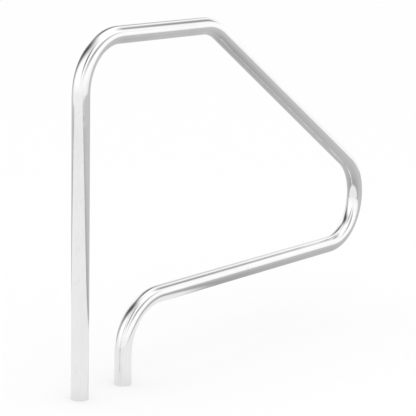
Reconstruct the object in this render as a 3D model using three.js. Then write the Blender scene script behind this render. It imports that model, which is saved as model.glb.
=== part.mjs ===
// Pool stair handrail, deck mounted, four bends.
//
// One length of polished stainless steel tube is bent four times on one bending
// die. The tall leg rises from the deck, turns onto a level top run, drops down
// a sloping hand run over the pool steps, turns back round the nose, and comes
// home along a level return run to the short leg. Both legs are cut square and
// level, and each carries a flush ribbed insert that closes the bore.
//
// Frame: millimetres, +Z up. The origin is the centre of the tall leg's cut
// end. +X points from the tall leg towards the nose, over the pool. The rail is
// planar and lies in the plane Y = 0.

import * as THREE from 'three';

// ---------------------------------------------------------------- dimensions

const TUBE_OD = 48.26;
const TUBE_WALL = 1.245;
const BEND_RADIUS = 146.05; // to the centreline, all four bends

const OVERALL_HEIGHT = 990.6; // cut end to the top of the top run
const OVERALL_LENGTH = 1377.95; // back of the tall leg to the nose
const LEG_SPACING = 177.8; // between the legs' centrelines
const RETURN_HEIGHT = 228.6; // cut end to the return run's centreline
const TOP_CORNER_X = 552.45; // where the top run meets the hand run

const TUBE_SIDES = 32; // facets round the tube and the inserts
const DEGREES_PER_STATION = 7.5; // largest step between stations along a bend

const TUBE_RADIUS = TUBE_OD / 2;
const BORE_RADIUS = TUBE_RADIUS - TUBE_WALL;

// ------------------------------------------------------------------ materials

const polishedStainless = new THREE.MeshStandardMaterial({
  name: 'polished_stainless',
  color: 0xd9dadb,
  metalness: 1.0,
  roughness: 0.08,
});

const mouldedPolyethylene = new THREE.MeshStandardMaterial({
  name: 'insert_plastic',
  color: 0x3a3b3c,
  metalness: 0.0,
  roughness: 0.55,
});

// ------------------------------------------------------------ bent centreline

// Corners of the unbent centreline in the XZ plane, as (x, z), from the tall
// leg's cut end to the short leg's.
function centrelineCorners() {
  const topHeight = OVERALL_HEIGHT - TUBE_RADIUS;
  const topCorner = new THREE.Vector2(TOP_CORNER_X, topHeight);

  // The nose bend is tangent to the return run and reaches the overall length.
  const noseCentre = new THREE.Vector2(
    OVERALL_LENGTH - TUBE_OD - BEND_RADIUS,
    RETURN_HEIGHT + BEND_RADIUS,
  );

  // The hand run leaves the top corner tangent to the nose bend, and meets the
  // return run's line at the nose corner.
  const toNose = noseCentre.clone().sub(topCorner);
  const handRunAngle =
    Math.atan2(toNose.y, toNose.x) + Math.asin(BEND_RADIUS / toNose.length());
  const noseCornerX = TOP_CORNER_X + (RETURN_HEIGHT - topHeight) / Math.tan(handRunAngle);

  return [
    new THREE.Vector2(0, 0),
    new THREE.Vector2(0, topHeight),
    topCorner,
    new THREE.Vector2(noseCornerX, RETURN_HEIGHT),
    new THREE.Vector2(LEG_SPACING, RETURN_HEIGHT),
    new THREE.Vector2(LEG_SPACING, 0),
  ];
}

const direction = (from, to) => to.clone().sub(from).normalize();

// A station is a point on the centreline and the unit tangent there.
function station(point, tangent) {
  return {
    point: new THREE.Vector3(point.x, 0, point.y),
    tangent: new THREE.Vector3(tangent.x, 0, tangent.y).normalize(),
  };
}

// Stations round the bend that replaces one corner, evenly spaced by angle.
function bendStations(previous, corner, next) {
  const incoming = direction(previous, corner);
  const outgoing = direction(corner, next);
  const turn = Math.atan2(incoming.cross(outgoing), incoming.dot(outgoing));
  const setback = BEND_RADIUS * Math.tan(Math.abs(turn) / 2);
  const start = corner.clone().addScaledVector(incoming, -setback);
  const toCentre = new THREE.Vector2(-incoming.y, incoming.x)
    .multiplyScalar(Math.sign(turn) * BEND_RADIUS);
  const centre = start.clone().add(toCentre);
  const origin = new THREE.Vector2();

  const steps = Math.ceil(Math.abs(THREE.MathUtils.radToDeg(turn)) / DEGREES_PER_STATION);
  const stations = [];
  for (let i = 0; i <= steps; i++) {
    const angle = (turn * i) / steps;
    stations.push(station(
      start.clone().rotateAround(centre, angle),
      incoming.clone().rotateAround(origin, angle),
    ));
  }
  return stations;
}

// Straight runs need only their two ends, which the bends and cut ends supply.
function centrelineStations(corners) {
  const last = corners.length - 1;
  const stations = [station(corners[0], direction(corners[0], corners[1]))];
  for (let i = 1; i < last; i++) {
    stations.push(...bendStations(corners[i - 1], corners[i], corners[i + 1]));
  }
  stations.push(station(corners[last], direction(corners[last - 1], corners[last])));
  return stations;
}

// A curve whose parameter runs evenly over the stations, so that an extrusion
// with one step per interval puts one section exactly on each of them.
class StationCurve extends THREE.Curve {
  constructor(stations) {
    super();
    this.stations = stations;
  }

  stationAt(u) {
    return this.stations[Math.round(u * (this.stations.length - 1))];
  }

  getPointAt(u, target = new THREE.Vector3()) {
    return target.copy(this.stationAt(u).point);
  }

  getTangentAt(u, target = new THREE.Vector3()) {
    return target.copy(this.stationAt(u).tangent);
  }
}

// ------------------------------------------------------------------ rail tube

function tubeCircle(radius) {
  const points = [];
  for (let i = 0; i < TUBE_SIDES; i++) {
    const angle = (2 * Math.PI * i) / TUBE_SIDES;
    points.push(new THREE.Vector2(radius * Math.cos(angle), radius * Math.sin(angle)));
  }
  return points;
}

function makeRailTube() {
  const section = new THREE.Shape(tubeCircle(TUBE_RADIUS));
  section.holes.push(new THREE.Path(tubeCircle(BORE_RADIUS)));

  const stations = centrelineStations(centrelineCorners());
  const geometry = new THREE.ExtrudeGeometry(section, {
    steps: stations.length - 1,
    extrudePath: new StationCurve(stations),
  });
  const tube = new THREE.Mesh(geometry, polishedStainless);
  tube.name = 'rail_tube';
  return tube;
}

// ---------------------------------------------------------------- leg inserts

// Heights run up the leg from its cut end.
const INSERT = {
  radius: BORE_RADIUS - 0.15, // head and rib crests, with clearance in the bore
  coreRadius: 42.4 / 2, // outside of the cup between the ribs
  cupWall: 2.2,
  length: 24,
  headThickness: 3,
  runOut: 0.6, // the slope to the core ends this far above a head or rib
  floorChamfer: 2, // inside the cup, where its wall meets the head
  rimChamferWidth: 0.8, // radial
  rimChamferHeight: 1,
};
const RIB = {
  count: 4,
  pitch: 4.6,
  height: 1.6,
  crestInset: 0.5, // from each end of the rib height to the crest
  firstGap: 2.4, // from the head to the first rib
};

// Profile of an insert about its own axis, as [radius, height]: a flat head at
// the cut end, then ribs that grip the bore, then the open rim of the cup.
function insertProfile() {
  const { radius, coreRadius, length, headThickness, runOut, floorChamfer } = INSERT;
  const cupRadius = coreRadius - INSERT.cupWall;
  const profile = [
    [0, 0],
    [radius, 0],
    [radius, headThickness],
    [coreRadius, headThickness + runOut],
  ];
  for (let i = 0; i < RIB.count; i++) {
    const bottom = headThickness + RIB.firstGap + i * RIB.pitch;
    const top = bottom + RIB.height;
    profile.push(
      [coreRadius, bottom],
      [radius, bottom + RIB.crestInset],
      [radius, top - RIB.crestInset],
      [coreRadius, top + runOut],
    );
  }
  profile.push(
    [coreRadius, length - INSERT.rimChamferHeight],
    [coreRadius - INSERT.rimChamferWidth, length],
    [cupRadius, length],
    [cupRadius, headThickness + floorChamfer],
    [cupRadius - floorChamfer, headThickness],
    [0, headThickness],
  );
  return profile.map(([r, height]) => new THREE.Vector2(r, height));
}

function makeLegInsert(name, legX) {
  // A lathe turns about Y; the rotation stands it up along Z.
  const geometry = new THREE.LatheGeometry(insertProfile(), TUBE_SIDES).rotateX(Math.PI / 2);
  const insert = new THREE.Mesh(geometry, mouldedPolyethylene);
  insert.name = name;
  insert.position.x = legX;
  return insert;
}

// ------------------------------------------------------------------- assembly

const handrail = new THREE.Group();
handrail.name = 'pool_handrail';
handrail.add(
  makeRailTube(),
  makeLegInsert('tall_leg_insert', 0),
  makeLegInsert('short_leg_insert', LEG_SPACING),
);

export default handrail;
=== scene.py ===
"""Pool stair handrail: one bent, polished stainless tube with a flush insert in each leg.

Metres, +Z up, origin at the centre of the tall leg's cut end, rail in the plane Y = 0.
The short leg and the nose of the rail lie towards +X.
"""

import math

import bpy
import numpy as np
from mathutils import Matrix, Vector


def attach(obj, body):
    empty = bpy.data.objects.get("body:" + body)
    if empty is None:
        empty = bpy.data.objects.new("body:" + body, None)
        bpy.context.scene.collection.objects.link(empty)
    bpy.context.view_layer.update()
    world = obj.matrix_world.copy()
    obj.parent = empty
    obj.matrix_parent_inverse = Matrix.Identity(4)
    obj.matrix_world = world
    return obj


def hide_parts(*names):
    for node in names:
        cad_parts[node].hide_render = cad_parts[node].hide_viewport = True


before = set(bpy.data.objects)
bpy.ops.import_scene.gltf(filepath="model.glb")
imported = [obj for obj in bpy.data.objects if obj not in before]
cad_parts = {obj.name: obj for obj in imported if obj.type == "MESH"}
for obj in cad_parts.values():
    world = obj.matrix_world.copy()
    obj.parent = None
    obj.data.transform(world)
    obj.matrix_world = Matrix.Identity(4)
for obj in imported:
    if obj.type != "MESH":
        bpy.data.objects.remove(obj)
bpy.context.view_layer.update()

MM = 0.001
scene = bpy.context.scene
scene.view_settings.view_transform = "Standard"
scene.view_settings.look = "None"
scene.view_settings.exposure = 0.0
scene.view_settings.gamma = 1.0

# ------------------------------------------------------------ tube dimensions
TUBE_R = 24.13 * MM
WALL = 1.245 * MM
BORE_R = TUBE_R - WALL
BEND_R = 146.05 * MM            # to the centreline
HEIGHT = 990.6 * MM             # over the outside of the tube
LENGTH = 1377.95 * MM           # over the outside of the tube
LEG_SPACING = 177.8 * MM
RETURN_Z = 228.6 * MM           # centreline of the low level run
TOP_CORNER_X = 552.45 * MM      # where the top run's line meets the slope's

SIDES = 128
BEND_STEP = math.radians(1.25)
RUN_STEP = 14 * MM

OUTER_ROUND = 0.32 * MM         # deburred edges of a cut end
INNER_ROUND = 0.22 * MM
ROUND_STEPS = 4
END_INSETS = (0.9 * MM, 2.5 * MM)   # extra rings just inside each end

# departures from a true round
BEND_EASE = 9 * MM              # length over which they fade in at a bend
OVAL_IN_PLANE = -0.0045         # shares of the tube radius
OVAL_ACROSS = 0.0030
RIPPLE = 0.010 * MM             # on the inside of a bend
RIPPLE_PITCH = 11 * MM
WAVE = 0.006 * MM               # all along the tube


# --------------------------------------------------------------- node helpers
def grey(value):
    return (value, value, value, 1)


class Nodes:
    """Short calls for building a node tree. A value may be a socket or a constant."""

    def __init__(self, owner):
        owner.use_nodes = True
        self.tree = owner.node_tree
        self.tree.nodes.clear()

    def new(self, kind):
        return self.tree.nodes.new(kind)

    def put(self, socket, value):
        if isinstance(value, bpy.types.NodeSocket):
            self.tree.links.new(value, socket)
        else:
            socket.default_value = value

    def math(self, operation, *values):
        node = self.new("ShaderNodeMath")
        node.operation = operation
        for i, value in enumerate(values):
            self.put(node.inputs[i], value)
        return node.outputs[0]

    def add_scaled(self, value, amount, base):
        """base + value * amount"""
        return self.math("MULTIPLY_ADD", value, amount, base)

    def vary(self, noise, amount, base):
        """base moved up and down by a noise centred on 0.5"""
        return self.add_scaled(self.math("SUBTRACT", noise, 0.5), amount, base)

    def vmath(self, operation, *vectors):
        node = self.new("ShaderNodeVectorMath")
        node.operation = operation
        for i, vector in enumerate(vectors):
            self.put(node.inputs[i], vector)
        scalar = operation in ("DOT_PRODUCT", "DISTANCE")
        return node.outputs["Value"] if scalar else node.outputs[0]

    def decay(self, value):
        """exp(-value)"""
        return self.math("EXPONENT", self.math("MULTIPLY", value, -1.0))

    def bell(self, vector):
        """A soft spot: 1 at the vector's origin, 1/e at length 1."""
        return self.decay(self.vmath("DOT_PRODUCT", vector, vector))

    def separate(self, vector):
        node = self.new("ShaderNodeSeparateXYZ")
        self.put(node.inputs[0], vector)
        return node.outputs

    def combine(self, x, y, z):
        node = self.new("ShaderNodeCombineXYZ")
        for i, value in enumerate((x, y, z)):
            self.put(node.inputs[i], value)
        return node.outputs[0]

    def mapping(self, vector, loc=(0, 0, 0), rot=(0, 0, 0), scale=(1, 1, 1), kind="POINT"):
        node = self.new("ShaderNodeMapping")
        node.vector_type = kind
        self.put(node.inputs["Vector"], vector)
        node.inputs["Location"].default_value = loc
        node.inputs["Rotation"].default_value = rot
        node.inputs["Scale"].default_value = scale
        return node.outputs[0]

    def noise(self, vector, scale, detail=2.0, rough=0.5, distortion=0.0):
        node = self.new("ShaderNodeTexNoise")
        node.noise_dimensions = "3D"
        self.put(node.inputs["Vector"], vector)
        node.inputs["Scale"].default_value = scale
        node.inputs["Detail"].default_value = detail
        node.inputs["Roughness"].default_value = rough
        node.inputs["Distortion"].default_value = distortion
        return node.outputs[0]

    def voronoi(self, vector, scale, feature):
        node = self.new("ShaderNodeTexVoronoi")
        node.feature = feature
        self.put(node.inputs["Vector"], vector)
        node.inputs["Scale"].default_value = scale
        node.inputs["Randomness"].default_value = 1.0
        return node.outputs[0]

    def ramp(self, value, across, to=(0.0, 1.0), smooth=False):
        """Clamped map of the range `across` onto the range `to`."""
        node = self.new("ShaderNodeMapRange")
        node.interpolation_type = "SMOOTHSTEP" if smooth else "LINEAR"
        node.clamp = True
        self.put(node.inputs["Value"], value)
        limits = ("From Min", "From Max", "To Min", "To Max")
        for name, limit in zip(limits, (*across, *to)):
            self.put(node.inputs[name], limit)
        return node.outputs["Result"]

    def mix_value(self, factor, first, second):
        node = self.new("ShaderNodeMix")
        node.data_type = "FLOAT"
        for i, value in ((0, factor), (2, first), (3, second)):
            self.put(node.inputs[i], value)
        return node.outputs[0]

    def mix_colour(self, factor, first, second):
        node = self.new("ShaderNodeMix")
        node.data_type = "RGBA"
        for i, value in ((0, factor), (6, first), (7, second)):
            self.put(node.inputs[i], value)
        return node.outputs[2]

    def bump(self, height, strength, distance, normal=None):
        node = self.new("ShaderNodeBump")
        self.put(node.inputs["Strength"], strength)
        node.inputs["Distance"].default_value = distance
        self.put(node.inputs["Height"], height)
        if normal is not None:
            self.put(node.inputs["Normal"], normal)
        return node.outputs[0]

    def shader(self, kind, **inputs):
        node = self.new(kind)
        for name, value in inputs.items():
            self.put(node.inputs[name.replace("_", " ")], value)
        return node.outputs[0]

    def mix_shader(self, factor, first, second):
        node = self.new("ShaderNodeMixShader")
        for i, value in enumerate((factor, first, second)):
            self.put(node.inputs[i], value)
        return node.outputs[0]

    def output(self, shader, kind="ShaderNodeOutputMaterial"):
        self.put(self.new(kind).inputs[0], shader)

    def surface(self, colour, rough, normal, metallic):
        self.output(self.shader("ShaderNodeBsdfPrincipled", Base_Color=colour,
                                Metallic=metallic, Roughness=rough, Normal=normal))

    def position(self):
        return self.new("ShaderNodeNewGeometry").outputs["Position"]

    def tube_position(self):
        """The mesh's (r cos, r sin, distance along the tube), metres."""
        node = self.new("ShaderNodeAttribute")
        node.attribute_name = "tube_pos"
        return node.outputs["Vector"]


def new_material(name):
    material = bpy.data.materials.new(name)
    return material, Nodes(material)


# ------------------------------------------------------------------ materials
def polished_stainless(length):
    """Belt-polished and buffed tube: lines along it, faint smudges, spots and hairlines."""
    material, net = new_material("polished_stainless")
    pos = net.tube_position()
    along = net.separate(pos)[2]

    # long, very shallow draw lines left in the tube wall under the polish
    draw = net.noise(net.mapping(pos, scale=(1.0, 1.0, 0.004)), scale=330.0)
    # fine polishing lines, broken up every few centimetres
    lines = net.noise(net.mapping(pos, scale=(1.0, 1.0, 0.012)),
                      scale=2400.0, detail=3.0, rough=0.6)
    coarse = net.noise(net.mapping(pos, scale=(1.0, 1.0, 0.02)), scale=800.0)
    # the polishing belt's faint spiral round the tube
    spiral = net.noise(net.mapping(pos, rot=(0.10, -0.08, 0.0), scale=(0.03, 0.03, 1.0)),
                       scale=1500.0, rough=0.55)
    # cloudy variation left by buffing
    cloud = net.noise(pos, scale=9.0, detail=4.0, rough=0.55)
    patchy = net.noise(pos, scale=46.0, detail=3.0, rough=0.6)

    # hand smudges
    smudge = net.noise(pos, scale=27.0, detail=4.0, rough=0.65, distortion=0.6)
    smudge = net.ramp(smudge, across=(0.56, 0.72), smooth=True)
    # dried water spots with a stronger rim, only in a few areas
    cell = net.voronoi(pos, scale=130.0, feature="F1")
    disc = net.ramp(cell, across=(0.10, 0.16), to=(1.0, 0.0), smooth=True)
    rim = net.ramp(cell, across=(0.07, 0.13), to=(0.25, 1.0), smooth=True)
    rare = net.ramp(net.noise(pos, scale=17.0), across=(0.58, 0.66), smooth=True)
    spot = net.math("MULTIPLY", net.math("MULTIPLY", disc, rim), rare)

    # sparse hairline scratches in two directions, slightly across the polish
    hairs = []
    for turn, tilt, scale, width in ((0.4, 0.05, 150.0, 0.010), (1.9, -0.09, 95.0, 0.007)):
        tilted = net.mapping(pos, rot=(tilt, tilt * 0.6, turn), scale=(1.0, 1.0, 0.05))
        edge = net.voronoi(tilted, scale=scale, feature="DISTANCE_TO_EDGE")
        hairs.append(net.ramp(edge, across=(0.0, width), to=(1.0, 0.0)))
    scratched = net.ramp(net.noise(pos, scale=13.0), across=(0.53, 0.64), smooth=True)
    hair = net.math("MULTIPLY", net.math("MAXIMUM", *hairs), scratched)

    # handling wear close to the two cut ends
    to_end = net.math("MINIMUM", along, net.math("SUBTRACT", length, along))
    wear = net.ramp(net.vary(patchy, amount=0.03, base=to_end),
                    across=(0.0, 0.022), to=(1.0, 0.0), smooth=True)
    burr = net.ramp(to_end, across=(0.0, 0.0022), to=(1.0, 0.0), smooth=True)

    rough = net.vary(lines, amount=0.07, base=0.058)
    rough = net.vary(cloud, amount=0.06, base=rough)
    rough = net.vary(patchy, amount=0.03, base=rough)
    # how much each mark roughens the polish
    for mark, amount in ((smudge, 0.085), (spot, 0.13), (hair, 0.20), (wear, 0.06), (burr, 0.12)):
        rough = net.add_scaled(mark, amount, rough)
    smoothest = 0.03
    rough = net.math("MAXIMUM", rough, smoothest)

    # the lines and marks also throw a little light aside, so they read slightly darker
    colour = net.mix_colour(net.ramp(cloud, across=(0.3, 0.7)), grey(0.876), grey(0.922))
    streak = net.ramp(draw, across=(0.38, 0.66), to=(0.0, 0.12), smooth=True)
    colour = net.mix_colour(streak, colour, grey(0.74))
    fine_share, coarse_share = 0.6, 0.4
    grain = net.add_scaled(lines, fine_share, net.math("MULTIPLY", coarse, coarse_share))
    grain = net.ramp(grain, across=(0.42, 0.66), to=(0.0, 0.30), smooth=True)
    colour = net.mix_colour(grain, colour, grey(0.70))
    # mark, strength, tone
    for mark, strength, tone in ((smudge, 0.35, 0.77), (spot, 0.30, 0.72),
                                 (hair, 0.40, 0.66), (wear, 0.07, 0.72)):
        colour = net.mix_colour(net.math("MULTIPLY", mark, strength), colour, grey(tone))

    normal = net.bump(draw, strength=1.0, distance=0.000014)
    # relative heights of the lines and marks
    line_h, coarse_h, spiral_h, hair_depth, spot_h = 0.5, 0.9, 0.25, 1.6, 0.4
    height = net.add_scaled(lines, line_h, net.math("MULTIPLY", coarse, coarse_h))
    height = net.add_scaled(spiral, spiral_h, height)
    height = net.math("SUBTRACT", height, net.math("MULTIPLY", hair, hair_depth))
    height = net.add_scaled(spot, spot_h, height)
    normal = net.bump(height, strength=1.0, distance=0.000010, normal=normal)
    net.surface(colour, rough, normal, metallic=1.0)
    return material


def cut_end_stainless():
    """The sawn and deburred leg ends: dull, with fine parallel saw lines."""
    material, net = new_material("cut_end_stainless")
    pos = net.position()
    saw = net.noise(net.mapping(pos, rot=(0, 0, 0.5), scale=(0.03, 1.0, 1.0)), scale=5200.0)
    speck = net.noise(pos, scale=1400.0, detail=3.0)
    rough = net.add_scaled(saw, amount=0.22, base=0.24)
    rough = net.add_scaled(speck, amount=0.10, base=rough)
    colour = net.mix_colour(saw, grey(0.62), (0.78, 0.78, 0.775, 1))
    speck_height = 0.3
    height = net.math("ADD", saw, net.math("MULTIPLY", speck, speck_height))
    normal = net.bump(height, strength=0.5, distance=0.00003)
    net.surface(colour, rough, normal, metallic=1.0)
    return material


def bore_stainless():
    """The unpolished bore: mill finish."""
    material, net = new_material("bore_stainless")
    pos = net.tube_position()
    mill = net.noise(net.mapping(pos, scale=(1, 1, 0.05)), scale=1100.0, detail=4.0, rough=0.6)
    patch = net.noise(pos, scale=24.0, detail=3.0)
    rough = net.add_scaled(patch, amount=0.12, base=0.24)
    rough = net.add_scaled(mill, amount=0.18, base=rough)
    colour = net.mix_colour(patch, grey(0.50), (0.66, 0.66, 0.655, 1))
    normal = net.bump(mill, strength=0.35, distance=0.00004)
    net.surface(colour, rough, normal, metallic=1.0)
    return material


def moulded_plastic():
    """Black moulded polyethylene: eggshell mould texture, flow marks and scuffs."""
    material, net = new_material("insert_plastic")
    pos = net.position()
    grain = net.noise(pos, scale=2600.0, detail=3.0, rough=0.6)
    flow = net.noise(net.mapping(pos, scale=(1, 1, 3.0)),
                     scale=95.0, detail=4.0, rough=0.6, distortion=0.8)
    # long thin scuffs, kept to patches
    scuff = net.noise(net.mapping(pos, rot=(0, 0, 0.9), scale=(1.0, 0.05, 1.0)), scale=1900.0)
    scuff = net.ramp(scuff, across=(0.60, 0.72), smooth=True)
    patch = net.ramp(net.noise(pos, scale=160.0), across=(0.45, 0.65), smooth=True)
    scuff = net.math("MULTIPLY", scuff, patch)

    colour = net.mix_colour(net.ramp(flow, across=(0.32, 0.68), smooth=True),
                            (0.030, 0.031, 0.032, 1), (0.064, 0.065, 0.068, 1))
    scuff_strength = 0.75
    colour = net.mix_colour(net.math("MULTIPLY", scuff, scuff_strength),
                            colour, (0.17, 0.17, 0.175, 1))
    rough = net.add_scaled(grain, amount=0.24, base=0.34)
    rough = net.add_scaled(scuff, amount=0.18, base=rough)
    grain_height, flow_height, scuff_depth = 0.6, 0.5, 0.5
    height = net.add_scaled(grain, grain_height, net.math("MULTIPLY", flow, flow_height))
    height = net.math("SUBTRACT", height, net.math("MULTIPLY", scuff, scuff_depth))
    normal = net.bump(height, strength=0.7, distance=0.00005)
    net.surface(colour, rough, normal, metallic=0.0)
    return material


# ------------------------------------------------------------ bent centreline
def rotate(vector, angle):
    c, s = math.cos(angle), math.sin(angle)
    return np.array([c * vector[0] - s * vector[1], s * vector[0] + c * vector[1]])


def unit(vector):
    return vector / math.hypot(*vector)


def corner_points():
    """Where the straight runs' centrelines meet, as (x, z), from tall leg to short leg."""
    top_z = HEIGHT - TUBE_R
    top_corner = np.array([TOP_CORNER_X, top_z])
    nose_centre = np.array([LENGTH - 2 * TUBE_R - BEND_R, RETURN_Z + BEND_R])
    # the sloping run is tangent to the nose bend
    reach = nose_centre - top_corner
    slope = math.atan2(reach[1], reach[0]) + math.asin(BEND_R / math.hypot(*reach))
    nose_x = TOP_CORNER_X + (RETURN_Z - top_z) / math.tan(slope)
    return [np.array([0.0, 0.0]), np.array([0.0, top_z]), top_corner,
            np.array([nose_x, RETURN_Z]), np.array([LEG_SPACING, RETURN_Z]),
            np.array([LEG_SPACING, 0.0])]


def centreline():
    """Stations along the tube: point, tangent, distance, bend.

    Bend is 0 on a run, +1 in a left turn and -1 in a right turn, with x right and z up.
    """
    corners = corner_points()
    stations = []
    distance = 0.0

    def add_run(start, finish, with_finish=False):
        nonlocal distance
        length = math.hypot(*(finish - start))
        steps = max(2, int(math.ceil(length / RUN_STEP)))
        tangent = unit(finish - start)
        for k in range(steps + with_finish):
            u = k / steps
            stations.append((start + (finish - start) * u, tangent, distance + length * u, 0.0))
        distance += length

    here = corners[0]
    for before, corner, after in zip(corners, corners[1:], corners[2:]):
        way_in, way_out = unit(corner - before), unit(after - corner)
        turn = math.atan2(way_in[0] * way_out[1] - way_in[1] * way_out[0],
                          float(way_in @ way_out))
        start = corner - way_in * BEND_R * math.tan(abs(turn) / 2)
        side = math.copysign(1.0, turn)
        centre = start + np.array([-way_in[1], way_in[0]]) * side * BEND_R
        add_run(here, start)
        steps = int(math.ceil(abs(turn) / BEND_STEP))
        for k in range(steps):
            angle = turn * k / steps
            stations.append((centre + rotate(start - centre, angle), rotate(way_in, angle),
                             distance + BEND_R * abs(angle), side))
        distance += BEND_R * abs(turn)
        here = centre + rotate(start - centre, turn)
    add_run(here, corners[-1], with_finish=True)
    return [np.array(column) for column in zip(*stations)]


def ease_bend(distance, bend):
    """The bend column, eased over a length at each end of a bend."""
    weight = np.exp(-((distance[:, None] - distance[None, :]) / BEND_EASE) ** 2)
    step = np.gradient(distance)
    return (weight * (bend * step)[None, :]).sum(1) / (weight * step[None, :]).sum(1)


# --------------------------------------------------------------------- meshes
def add_mesh(name, verts, faces, materials, smooth=False):
    mesh = bpy.data.meshes.new(name)
    mesh.from_pydata(verts, [], faces)
    for material in materials:
        mesh.materials.append(material)
    if smooth:
        mesh.polygons.foreach_set("use_smooth", np.ones(len(mesh.polygons), bool))
    mesh.update()
    obj = bpy.data.objects.new(name, mesh)
    scene.collection.objects.link(obj)
    return obj


def cut_end_rounds():
    """Radius and inset of each ring over a cut end, from the bore to the outside."""
    angles = [math.pi / 2 * k / ROUND_STEPS for k in range(ROUND_STEPS + 1)]
    inner = [(BORE_R + INNER_ROUND * (1 - math.cos(a)), INNER_ROUND * (1 - math.sin(a)))
             for a in angles]
    outer = [(TUBE_R - OUTER_ROUND * (1 - math.sin(a)), OUTER_ROUND * (1 - math.cos(a)))
             for a in angles]
    return inner + outer


def build_tube(path, materials):
    """Closed skin of rings: out along the outside, round the far end, back along the bore."""
    points, tangents, distance, bend = path
    last = len(points) - 1
    eased = ease_bend(distance, bend)
    angle = np.arange(SIDES) * 2 * math.pi / SIDES
    cos, sin = np.cos(angle), np.sin(angle)
    outside, cut, bore = 0, 1, 2       # ring kinds, also the material slots
    rings, tube_pos, kinds = [], [], []

    def departure(i):
        """Ovality in a bend, faint ripples on its inside, and a slow wave everywhere."""
        share = abs(eased[i])
        oval = TUBE_R * share * (OVAL_IN_PLANE * cos ** 2 + OVAL_ACROSS * sin ** 2)
        inside = np.clip(cos * np.sign(eased[i]), 0, 1) ** 3
        ripple = RIPPLE * share * inside * math.sin(2 * math.pi * distance[i] / RIPPLE_PITCH)
        # two-lobed and three-lobed waves, twisting in radians per metre
        wave = WAVE * (np.sin(angle * 2 + distance[i] * 21.0)
                       + np.sin(angle * 3 - distance[i] * 33.0 + 1.0))
        return oval + ripple + wave

    def add_ring(i, radius, kind, inset=0.0, lift=0.0):
        """Inset moves an end ring into the tube; lift is added to the radius."""
        shift = inset if i == 0 else -inset
        (x, z), (tan_x, tan_z) = points[i], tangents[i]
        r = radius + lift
        rings.append(np.stack([x + tan_x * shift - r * cos * tan_z,
                               -r * sin,
                               z + tan_z * shift + r * cos * tan_x], 1))
        tube_pos.append(np.stack([radius * cos, radius * sin,
                                  np.full(SIDES, distance[i] + shift)], 1))
        kinds.append(kind)

    rounds = cut_end_rounds()
    for radius, inset in rounds:
        add_ring(0, radius, cut, inset)
    for inset in END_INSETS:
        add_ring(0, TUBE_R, outside, inset)
    for i in range(1, last):
        add_ring(i, TUBE_R, outside, lift=departure(i))
    for inset in reversed(END_INSETS):
        add_ring(last, TUBE_R, outside, inset)
    for radius, inset in reversed(rounds):
        add_ring(last, radius, cut, inset)
    for inset in END_INSETS:
        add_ring(last, BORE_R, bore, inset)
    for i in range(last - 1, 0, -3):   # the bore is out of sight: every third ring is enough
        add_ring(i, BORE_R, bore, lift=departure(i))
    for inset in reversed(END_INSETS):
        add_ring(0, BORE_R, bore, inset)

    ring = np.arange(len(rings))
    next_ring = (ring + 1) % len(rings)
    side = np.arange(SIDES)
    next_side = (side + 1) % SIDES
    quads = np.stack([first[:, None] * SIDES + second[None, :] for first, second in (
        (ring, next_side), (next_ring, next_side), (next_ring, side), (ring, side))],
        -1).reshape(-1, 4)
    obj = add_mesh("polished_rail_tube", np.concatenate(rings).tolist(), quads.tolist(),
                   materials, smooth=True)

    mesh = obj.data
    attribute = mesh.attributes.new("tube_pos", "FLOAT_VECTOR", "POINT")
    attribute.data.foreach_set("vector", np.concatenate(tube_pos).astype(np.float32).ravel())
    kind = np.array(kinds)
    next_kind = kind[next_ring]
    slots = np.where((kind == cut) & (next_kind == cut), cut,
                     np.where((kind == bore) | (next_kind == bore), bore, outside))
    mesh.polygons.foreach_set("material_index", np.repeat(slots, SIDES).astype(np.int32))
    mesh.update()
    return obj


# ---------------------------------------------------------------- leg inserts
INSERT_SIDES = 96
HEAD_R = BORE_R - 0.15 * MM
HEAD_ROUND = 0.7 * MM
HEAD_T = 3.0 * MM
CORE_R = 21.2 * MM
CUP_R = 19.0 * MM
INSERT_H = 24.0 * MM
RIB_COUNT = 4
RIB_START = HEAD_T + 2.4 * MM
RIB_PITCH = 4.6 * MM

# standing face with a shallow ring groove: radius, height, mm
FACE = ((0.0, 0), (2.0, 0), (9.4, 0), (9.8, 0.06), (10.1, 0.28), (10.5, 0.40),
        (13.5, 0.40), (13.9, 0.28), (14.2, 0.06), (14.6, 0))
# one barbed rib: radius in metres, height over the rib's own level in mm
RIB = ((CORE_R, -0.25), (CORE_R + 0.12 * MM, 0.02), (HEAD_R - 0.30 * MM, 0.42),
       (HEAD_R - 0.08 * MM, 0.56), (HEAD_R, 0.80), (HEAD_R - 0.06 * MM, 1.02),
       (CORE_R + 0.5 * MM, 1.95), (CORE_R, 2.30))


def insert_profile():
    """Radius and height from the middle of the standing face round to the cup's floor."""
    profile = [(r * MM, z * MM) for r, z in FACE]
    for k in range(7):
        a = math.pi / 2 * k / 6
        profile.append((HEAD_R - HEAD_ROUND * (1 - math.sin(a)), HEAD_ROUND * (1 - math.cos(a))))
    profile += [(HEAD_R, HEAD_T - 0.3 * MM), (HEAD_R - 0.15 * MM, HEAD_T),
                (CORE_R + 0.4 * MM, HEAD_T + 0.15 * MM), (CORE_R, HEAD_T + 0.6 * MM)]
    for i in range(RIB_COUNT):
        profile += [(r, RIB_START + RIB_PITCH * i + z * MM) for r, z in RIB]
    # chamfered rim, then down the inside of the cup
    profile += [(CORE_R, INSERT_H - 1.0 * MM), (CORE_R - 0.25 * MM, INSERT_H - 0.4 * MM),
                (CORE_R - 0.8 * MM, INSERT_H), (CUP_R + 0.3 * MM, INSERT_H),
                (CUP_R, INSERT_H - 0.3 * MM), (CUP_R, HEAD_T + 2.0 * MM),
                (CUP_R - 0.5 * MM, HEAD_T + 0.7 * MM), (CUP_R - 2.0 * MM, HEAD_T),
                (6.0 * MM, HEAD_T), (3.0 * MM, HEAD_T), (0.0, HEAD_T)]
    return profile


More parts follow.
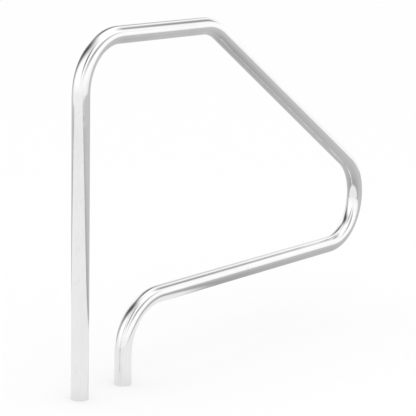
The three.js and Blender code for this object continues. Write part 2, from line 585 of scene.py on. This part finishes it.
def build_insert(name, leg_x, material):
    """Flush insert: rounded head, barbed ribs and a cup open at the top."""
    verts, faces, rings = [], [], []
    angles = [2 * math.pi * k / INSERT_SIDES for k in range(INSERT_SIDES)]
    for r, z in insert_profile():
        if r == 0.0:
            rings.append([len(verts)])
            verts.append((leg_x, 0.0, z))
        else:
            rings.append(list(range(len(verts), len(verts) + INSERT_SIDES)))
            verts += [(leg_x + r * math.cos(a), r * math.sin(a), z) for a in angles]
    for ring, following in zip(rings[:-1], rings[1:]):
        for k in range(INSERT_SIDES):
            j = (k + 1) % INSERT_SIDES
            if len(ring) == 1:
                faces.append((ring[0], following[j], following[k]))
            elif len(following) == 1:
                faces.append((ring[k], ring[j], following[0]))
            else:
                faces.append((ring[k], ring[j], following[j], following[k]))
    return add_mesh(name, verts, faces, [material], smooth=True)


path = centreline()
steels = (polished_stainless(float(path[2][-1])), cut_end_stainless(), bore_stainless())
plastic = moulded_plastic()

tube = build_tube(path, steels)
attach(tube, "root")
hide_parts("rail_tube")

for node, leg_x in (("tall_leg_insert", 0.0), ("short_leg_insert", LEG_SPACING)):
    piece = build_insert("moulded_" + node, leg_x, plastic)
    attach(piece, "root")
    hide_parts(node)


# ---------------------------------------------------------------- studio rig
# Polished steel shows only what stands round it, so the studio is kept plain:
# white all round with five broad soft gaps overhead, and a pale floor sheet that
# ends at a curved edge with a greyer floor past it, with painted contact shade round each leg.
# Only glossy rays see these
# tones; the camera sees a plain pale floor. Tones are display values, 0 to 1.
STEEL = 0.865                      # mean reflectance of the steel
DOME_CENTRE = (0.6, 0.0, 0.0)
DOME_R = 6.0
DOME_ROWS = 48
DOME_COLUMNS = 144
WALL_TONE = (0.93, 1.05)           # at the floor, and from 30 degrees up
WALL_RISE = (0.0, 0.5)             # sines of those two elevations
# azimuth from +Y towards +X, elevation, turn (degrees), two half widths (dome radii), drop
GAPS = (
    (-20, 45, -65, 0.70, 0.25, 0.75),
    (35, 45, -50, 0.50, 0.20, 0.65),
    (95, 45, 50, 0.25, 0.20, 0.50),
    (180, 40, -5, 0.60, 0.15, 0.45),
    (-120, 50, -65, 0.35, 0.10, 0.65),
)
FLOOR_HALF = 120.0
FLOOR_Z = -0.0002
SHEET_TONE = 0.91
SHEET_CENTRE = (-3.75, -0.6)
SHEET_R = 4.55
SHEET_SOFT = 0.1                   # half width of the sheet's soft edge
PAST_TONE = (0.6, 0.75)            # at the sheet's edge and far away
PAST_FALL = 0.5                    # distance over which one turns into the other
CONTACT_SHADE_DROP = 0.03                # painted contact shade: the reflected floor darkened round each leg
CONTACT_SHADE_R = 0.11
FLOOR_GLOW = 0.99                  # strength of the light from below
GLOW_SHARE = 0.5
# world strength for camera rays, glossy rays and all others
WORLD_SEEN = 1.0
WORLD_SHINE = 0.86 / STEEL
WORLD_LIGHT = 1.238


def to_linear(net, tone):
    """Emission that the steel reflects as this display tone, by the sRGB curve."""
    tone = net.math("MAXIMUM", tone, 0.02)
    tone = net.math("MINIMUM", tone, 1.12)
    tone = net.math("DIVIDE", net.math("ADD", tone, 0.055), 1.055)
    return net.math("DIVIDE", net.math("POWER", tone, 2.4), STEEL)


def dome_material():
    material, net = new_material("studio_dome")
    offset = net.vmath("SUBTRACT", net.position(), DOME_CENTRE)
    direction = net.vmath("NORMALIZE", offset)
    rise = net.ramp(net.separate(direction)[2], across=WALL_RISE)
    tone = net.mix_value(rise, *WALL_TONE)
    for *degrees, half_1, half_2, drop in GAPS:
        a, e, t = (math.radians(value) for value in degrees)
        towards = Vector((math.sin(a) * math.cos(e), math.cos(a) * math.cos(e), math.sin(e)))
        level = Vector((math.cos(a), -math.sin(a), 0.0))
        rising = Vector((-math.sin(a) * math.sin(e), -math.cos(a) * math.sin(e), math.cos(e)))
        axes = ((math.cos(t) * level + math.sin(t) * rising) / half_1,
                (-math.sin(t) * level + math.cos(t) * rising) / half_2,
                towards / max(half_1, half_2))
        away = net.vmath("SUBTRACT", direction, tuple(towards))
        local = net.combine(*[net.vmath("DOT_PRODUCT", away, tuple(axis)) for axis in axes])
        tone = net.math("SUBTRACT", tone, net.math("MULTIPLY", net.bell(local), drop))
    net.output(net.shader("ShaderNodeEmission", Strength=to_linear(net, tone)))
    return material


def add_dome():
    """Half sphere over the floor, seen by glossy rays only."""
    x, y, z = DOME_CENTRE
    verts, faces = [], []
    for i in range(DOME_ROWS):
        e = math.pi / 2 * i / DOME_ROWS
        for k in range(DOME_COLUMNS):
            a = 2 * math.pi * k / DOME_COLUMNS
            verts.append((x + DOME_R * math.cos(e) * math.cos(a),
                          y + DOME_R * math.cos(e) * math.sin(a),
                          z + DOME_R * math.sin(e)))
    top = len(verts)
    verts.append((x, y, z + DOME_R))
    for i in range(DOME_ROWS):
        row, above = i * DOME_COLUMNS, (i + 1) * DOME_COLUMNS
        for k in range(DOME_COLUMNS):
            j = (k + 1) % DOME_COLUMNS
            if above == top:
                faces.append((row + k, top, row + j))
            else:
                faces.append((row + k, above + k, above + j, row + j))
    obj = add_mesh("studio_dome", verts, faces, [dome_material()])
    obj.visible_camera = False
    obj.visible_diffuse = False
    obj.visible_shadow = False
    obj.visible_transmission = False
    obj.visible_volume_scatter = False


def floor_material():
    material, net = new_material("studio_floor")
    geometry = net.new("ShaderNodeNewGeometry").outputs
    x, y, _ = net.separate(geometry["Position"])
    flat = net.combine(x, y, 0.0)

    # the floor in reflections: sheet, greyer floor past it, and painted contact shade at the legs
    past = net.math("SUBTRACT", net.vmath("DISTANCE", flat, (*SHEET_CENTRE, 0.0)), SHEET_R)
    far = net.math("DIVIDE", net.math("MAXIMUM", past, 0.0), PAST_FALL)
    far = net.math("SUBTRACT", 1.0, net.decay(far))
    over = net.ramp(past, across=(-SHEET_SOFT, SHEET_SOFT), smooth=True)
    tone = net.mix_value(over, SHEET_TONE, net.mix_value(far, *PAST_TONE))
    # painted shade: a soft darkening of the floor tone that glossy rays see, round each leg
    contact_shades = []
    for leg_x in (0.0, LEG_SPACING):
        local = net.mapping(flat, loc=(leg_x, 0.0, 0.0), scale=(CONTACT_SHADE_R, CONTACT_SHADE_R, 1.0),
                            kind="TEXTURE")
        contact_shades.append(net.math("MULTIPLY", net.bell(local), CONTACT_SHADE_DROP))
    tone = net.math("SUBTRACT", tone, net.math("ADD", *contact_shades))
    mirrored = net.shader("ShaderNodeEmission", Strength=to_linear(net, tone))

    # the floor for the eye: pale, and part lit from below so the shade at the feet stays soft
    fine = net.noise(geometry["Position"], scale=160.0, detail=4.0, rough=0.6)
    pale = net.shader("ShaderNodeBsdfDiffuse",
                      Color=net.mix_colour(fine, grey(0.79), grey(0.81)))
    glow = net.shader("ShaderNodeEmission", Strength=FLOOR_GLOW)
    plain = net.mix_shader(GLOW_SHARE, pale, glow)

    glossy = net.new("ShaderNodeLightPath").outputs["Is Glossy Ray"]
    above = net.mix_shader(glossy, plain, mirrored)
    # clear from below
    clear = net.shader("ShaderNodeBsdfTransparent")
    net.output(net.mix_shader(geometry["Backfacing"], above, clear))
    return material


def add_floor():
    corners = ((-1, -1), (1, -1), (1, 1), (-1, 1))
    verts = [(x * FLOOR_HALF, y * FLOOR_HALF, FLOOR_Z) for x, y in corners]
    add_mesh("studio_floor", verts, [(0, 1, 2, 3)], [floor_material()])


def set_world():
    """White all round, with its own strength for camera, glossy and other rays."""
    world = bpy.data.worlds.new("studio_world")
    net = Nodes(world)
    rays = net.new("ShaderNodeLightPath").outputs
    seen, light, shine = (
        net.shader("ShaderNodeBackground", Color=grey(1.0), Strength=strength)
        for strength in (WORLD_SEEN, WORLD_LIGHT, WORLD_SHINE))
    unseen = net.mix_shader(rays["Is Glossy Ray"], light, shine)
    net.output(net.mix_shader(rays["Is Camera Ray"], unseen, seen), "ShaderNodeOutputWorld")
    scene.world = world


def add_soft_light(name, place, target, size, energy):
    data = bpy.data.lights.new(name, "AREA")
    data.shape = "SQUARE"
    data.size = size
    data.energy = energy
    obj = bpy.data.objects.new(name, data)
    obj.location = place
    aim = Vector(target) - Vector(place)
    obj.rotation_euler = aim.to_track_quat("-Z", "Y").to_euler()
    obj.visible_glossy = False
    scene.collection.objects.link(obj)


def add_camera(name, eye, target, roll, lens):
    """Camera at eye looking at target, rolled about its line of sight."""
    eye = Vector(eye)
    forward = (Vector(target) - eye).normalized()
    level = forward.cross(Vector((0, 0, 1))).normalized()
    plumb = forward.cross(level)
    right = math.cos(roll) * level + math.sin(roll) * plumb
    down = -math.sin(roll) * level + math.cos(roll) * plumb
    data = bpy.data.cameras.new(name)
    data.lens = lens
    data.sensor_width = 36.0
    data.clip_start = 0.05
    data.clip_end = 400.0
    camera = bpy.data.objects.new(name, data)
    rows = [column for column in zip(right, -down, -forward, eye)]
    camera.matrix_world = Matrix((*rows, (0, 0, 0, 1)))
    scene.collection.objects.link(camera)
    scene.camera = camera


add_dome()
add_floor()
set_world()
add_soft_light("soft_key", place=(-1.6, -2.6, 3.6), target=(0.5, 0, 0.3), size=3.0, energy=12.0)
add_camera("photo_view", eye=(-3.337386, -2.973302, 1.420811), target=(0.550502, 0.0, 0.440393),
           roll=math.radians(-1.056), lens=150.0)
